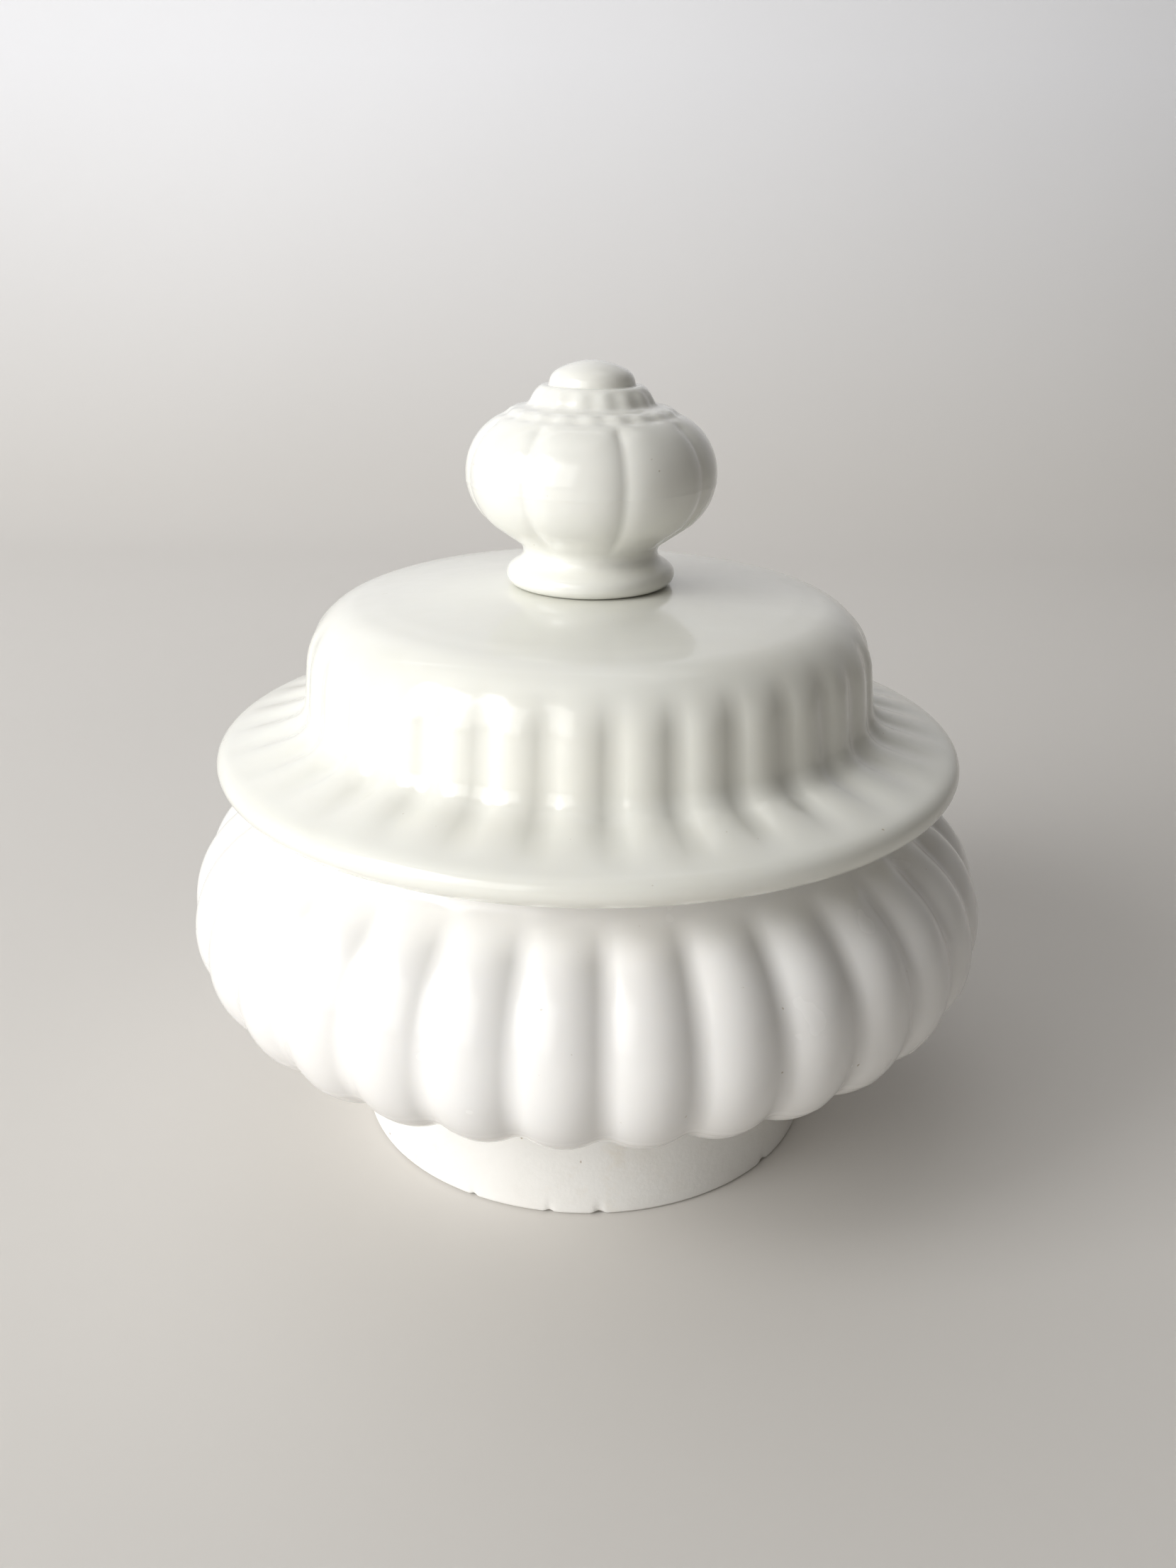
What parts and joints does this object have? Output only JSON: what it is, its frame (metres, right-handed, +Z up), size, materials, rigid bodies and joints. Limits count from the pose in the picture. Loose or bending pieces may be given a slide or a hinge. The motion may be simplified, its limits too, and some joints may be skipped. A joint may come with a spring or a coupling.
{
  "type": "covered cream jar",
  "caption": "Squat gadrooned jar of glazed earthenware on a plain foot ring, with a fluted lift-off lid, wide brim and lobed knob.",
  "frame": {"origin": "centre of the foot ring's base, where the jar stands", "axes": "+Z up the jar's axis of symmetry; -Y faces the front"},
  "size_m": [0.164, 0.164, 0.1578],
  "materials": {
    "bowl_glaze": "glossy white glaze",
    "bare_clay": "matte unglazed",
    "lid_glaze": "glossy cream glaze",
    "knob_glaze": "glossy cream glaze"
  },
  "bodies": {
    "jar": {"bowl": "bowl_glaze", "foot_ring": "bare_clay"},
    "lid": {"lid_cover": "lid_glaze", "lid_collar": "lid_glaze", "knob": "knob_glaze"}
  },
  "joints": [
    {"name": "lid_lift", "type": "slide", "parent": "jar", "child": "lid", "axis": [0, 0, 1], "range_m": [0, 0.12]}
  ]
}
